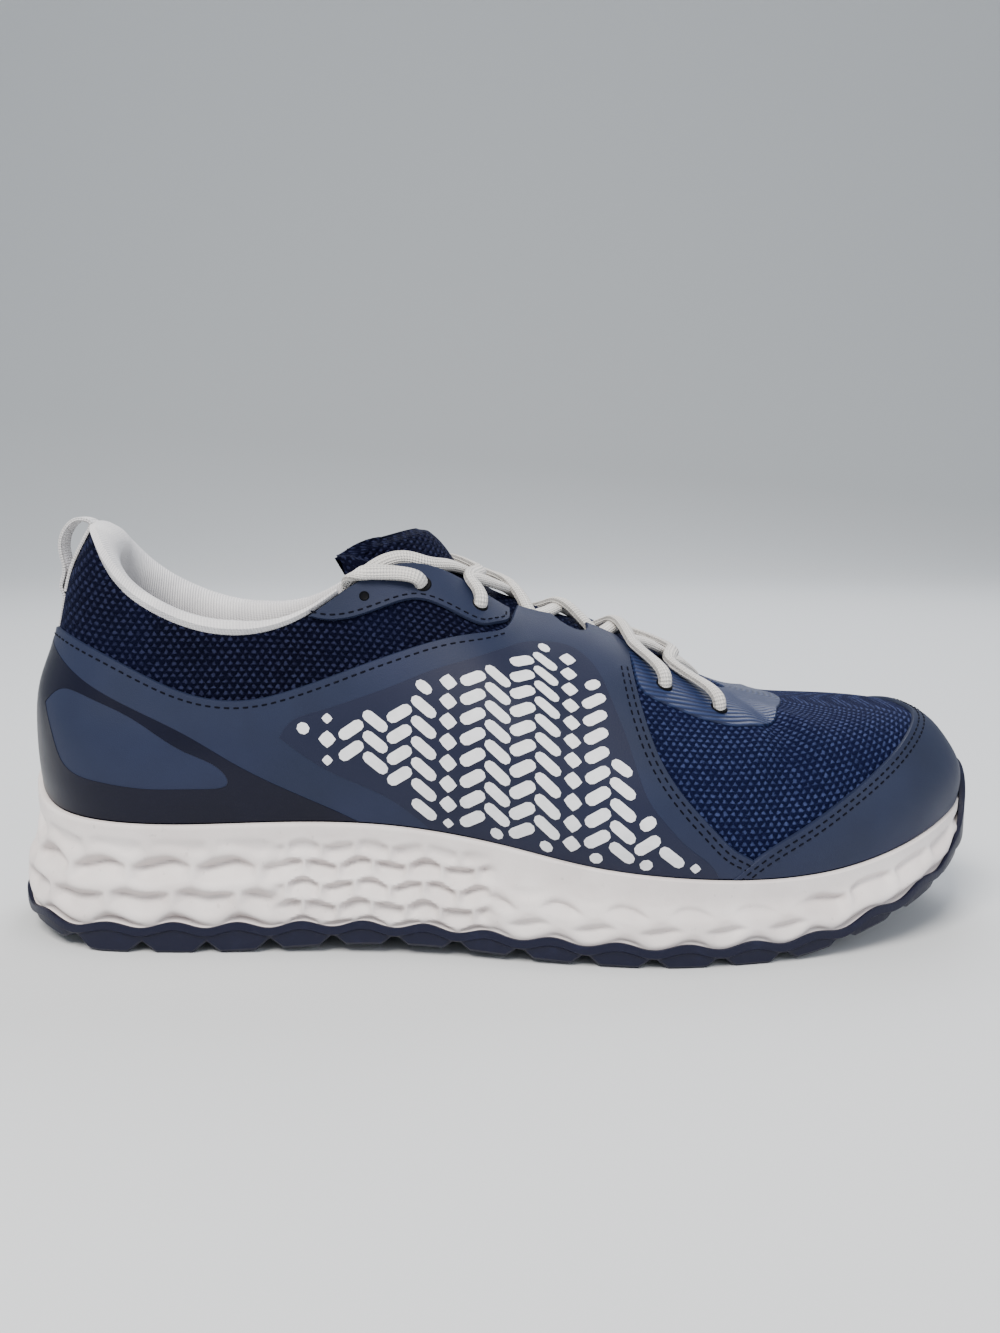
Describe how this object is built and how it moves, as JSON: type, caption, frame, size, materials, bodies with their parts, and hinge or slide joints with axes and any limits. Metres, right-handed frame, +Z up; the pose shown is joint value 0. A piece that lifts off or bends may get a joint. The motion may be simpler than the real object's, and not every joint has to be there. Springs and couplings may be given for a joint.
{
  "type": "turf shoe",
  "caption": "Low-cut baseball turf shoe for the right foot: mesh upper with smooth overlays, sculpted foam midsole and studded rubber outsole.",
  "frame": {"origin": "on the ground, under the middle of the shoe's length and width", "axes": "+X to the toe, +Y to the medial side (the wearer's left, since this is a right shoe), +Z up"},
  "size_m": [0.2992, 0.1136, 0.1296],
  "materials": {
    "outsole": "moulded, satin",
    "midsole": "moulded foam, matt",
    "insole": "brushed cloth over foam",
    "upper": "engineered mesh",
    "collar": "padded knit lining",
    "tongue": "padded mesh",
    "overlay": "smooth synthetic leather",
    "film": "translucent film over mesh",
    "ribbon": "woven ribbon",
    "lace": "braided lace"
  },
  "bodies": {
    "root": {"outsole": "outsole", "midsole": "midsole", "insole": "insole", "upper": "upper", "collar": "collar", "tongue": "tongue", "quarter_panel": "overlay", "toe_cap": "overlay", "eyestay_lateral": "overlay", "eyestay_medial": "overlay", "vamp_film": "film", "pull_loop": "ribbon", "lace_bar": "lace", "lace_crossing_1": "lace", "lace_crossing_2": "lace", "lace_crossing_3": "lace", "lace_crossing_4": "lace", "lace_crossing_5": "lace"}
  },
  "joints": []
}
